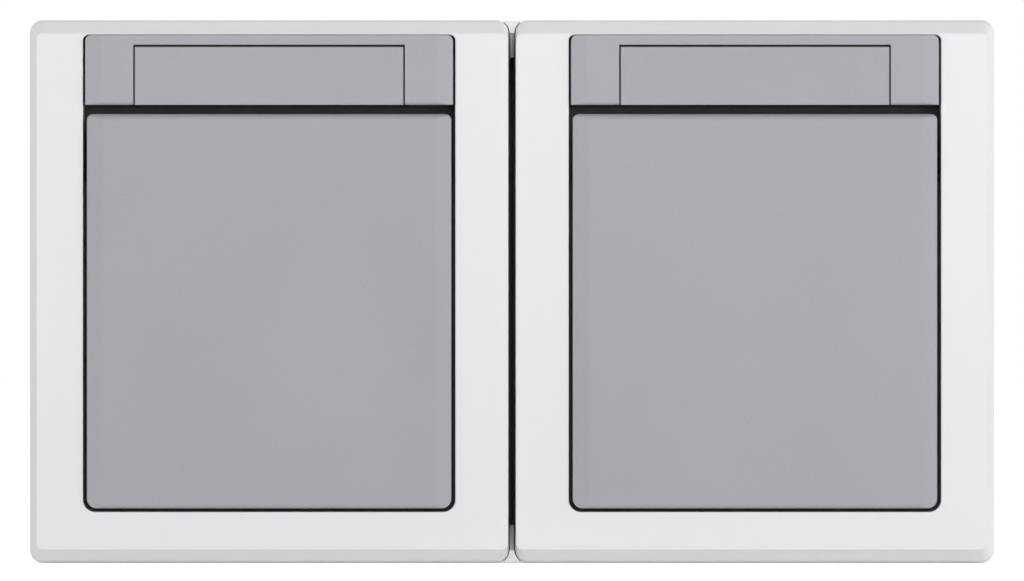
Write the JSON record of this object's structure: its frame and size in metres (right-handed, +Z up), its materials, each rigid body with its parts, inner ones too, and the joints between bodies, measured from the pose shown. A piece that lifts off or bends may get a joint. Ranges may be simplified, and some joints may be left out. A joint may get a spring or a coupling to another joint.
{
  "type": "double weatherproof wall socket",
  "caption": "Surface-mounted outdoor socket pair: white frames, grey inserts with label strips and sprung hinged lids over round recessed sockets with side earth clips.",
  "frame": {"origin": "middle of the back face, on the wall plane", "axes": "+Z up, -Y out of the wall towards the user, +X to the right seen from the front"},
  "size_m": [0.15, 0.0586, 0.0844],
  "materials": {
    "white_shell": "satin moulded",
    "grey_insert": "fine matt texture",
    "dark_insert": "fine matt texture",
    "grey_lid": "fine matt texture",
    "black_rubber": "soft matt",
    "grey_rubber": "soft matt",
    "spring_steel": "drawn wire",
    "pin_steel": "ground",
    "zinc_screw": "zinc plated",
    "contact_brass": "stamped",
    "plated_brass": "nickel plated",
    "carrier_moulding": "moulded",
    "shutter_moulding": "moulded"
  },
  "bodies": {
    "root": {"base_housing": "white_shell", "cable_grommets": "grey_rubber", "groove_seal": "black_rubber", "left_frame": "white_shell", "left_frame_seal": "black_rubber", "left_cover_plate": "dark_insert", "left_socket_cup": "dark_insert", "left_socket_floor": "dark_insert", "left_label_strip": "grey_insert", "left_label_insert": "grey_insert", "left_lid_spring": "spring_steel", "left_shutter_spring": "spring_steel", "left_contact_carrier": "carrier_moulding", "left_line_contact": "contact_brass", "left_neutral_contact": "contact_brass", "left_earth_bracket": "plated_brass", "left_centre_bush": "contact_brass", "left_terminal_screws": "zinc_screw", "left_carrier_screws": "zinc_screw", "left_centre_screw": "zinc_screw", "right_frame": "white_shell", "right_frame_seal": "black_rubber", "right_cover_plate": "dark_insert", "right_socket_cup": "dark_insert", "right_socket_floor": "dark_insert", "right_label_strip": "grey_insert", "right_label_insert": "grey_insert", "right_lid_spring": "spring_steel", "right_shutter_spring": "spring_steel", "right_contact_carrier": "carrier_moulding", "right_line_contact": "contact_brass", "right_neutral_contact": "contact_brass", "right_earth_bracket": "plated_brass", "right_centre_bush": "contact_brass", "right_terminal_screws": "zinc_screw", "right_carrier_screws": "zinc_screw", "right_centre_screw": "zinc_screw"},
    "left_lid": {"left_lid": "grey_lid", "left_hinge_pin": "pin_steel", "left_lid_seal": "black_rubber"},
    "left_shutter": {"left_shutter": "shutter_moulding"},
    "right_lid": {"right_lid": "grey_lid", "right_hinge_pin": "pin_steel", "right_lid_seal": "black_rubber"},
    "right_shutter": {"right_shutter": "shutter_moulding"}
  },
  "joints": [
    {"name": "left_lid_hinge", "type": "hinge", "parent": "root", "child": "left_lid", "pos_m": [-0.03775, -0.054, 0.0226], "axis": [-1, 0, 0], "range_deg": [0, 105], "stiffness_Nm_per_rad": 0.012, "springref_deg": -68.75},
    {"name": "left_shutter_turn", "type": "hinge", "parent": "root", "child": "left_shutter", "pos_m": [-0.03775, -0.0295, -0.006], "axis": [0, -1, 0], "range_deg": [0, 40], "stiffness_Nm_per_rad": 0.002, "springref_deg": -34.38},
    {"name": "right_lid_hinge", "type": "hinge", "parent": "root", "child": "right_lid", "pos_m": [0.03775, -0.054, 0.0226], "axis": [-1, 0, 0], "range_deg": [0, 105], "stiffness_Nm_per_rad": 0.012, "springref_deg": -68.75},
    {"name": "right_shutter_turn", "type": "hinge", "parent": "root", "child": "right_shutter", "pos_m": [0.03775, -0.0295, -0.006], "axis": [0, -1, 0], "range_deg": [0, 40], "stiffness_Nm_per_rad": 0.002, "springref_deg": -34.38}
  ]
}
